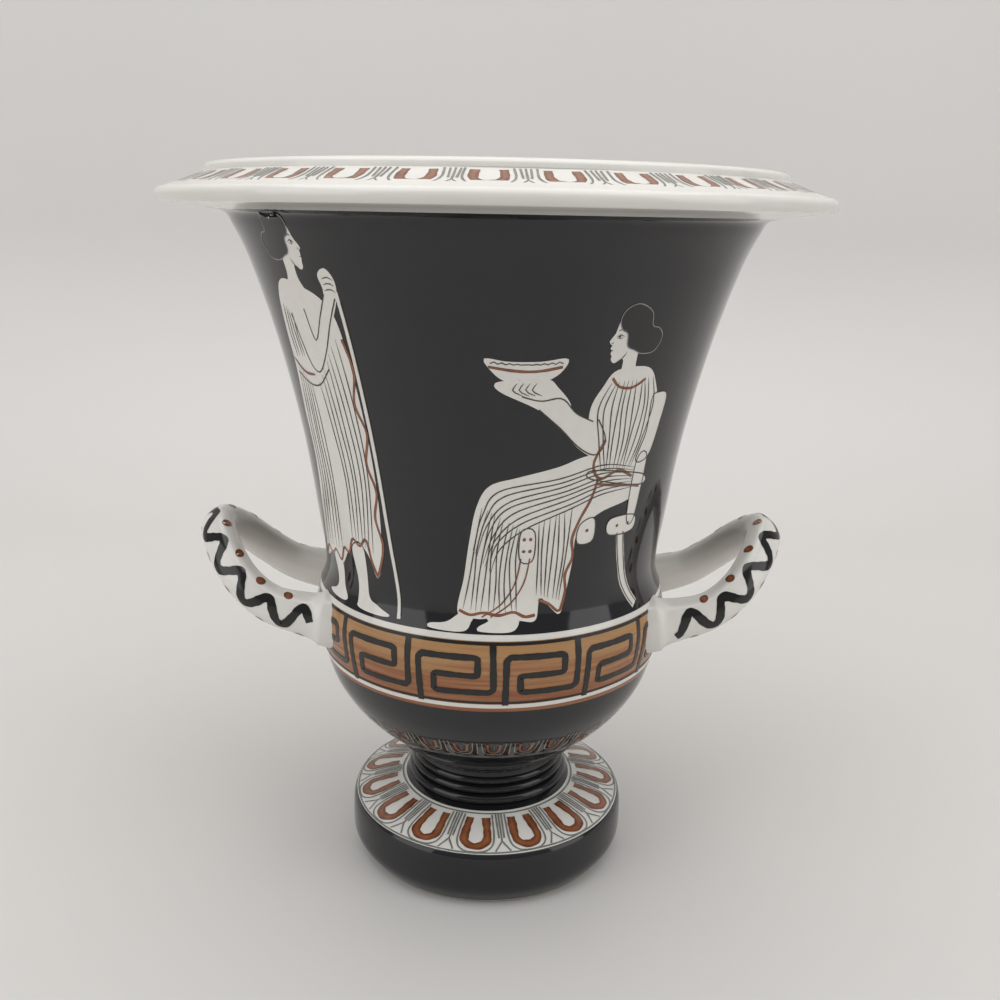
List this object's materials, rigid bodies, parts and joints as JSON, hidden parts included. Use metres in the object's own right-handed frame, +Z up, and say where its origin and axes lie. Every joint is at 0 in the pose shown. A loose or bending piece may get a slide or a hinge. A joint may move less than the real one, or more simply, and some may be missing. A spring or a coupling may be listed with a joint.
{
  "type": "greek krater, glazed porcelain copy",
  "caption": "Black-glazed porcelain copy of a Greek krater: flared body, rolled rim, short stem, round foot, upswept loop handles at the sides.",
  "frame": {"origin": "on the vessel's axis, in the plane of the foot ring that stands on the table", "axes": "+Z up along the axis, +X and -X towards the handles, the painted front faces -Y"},
  "size_m": [0.222, 0.222, 0.25],
  "materials": {
    "glazed_porcelain": "glossy black and white glaze with painted ornament"
  },
  "bodies": {
    "root": {"krater": "glazed_porcelain"}
  },
  "joints": []
}
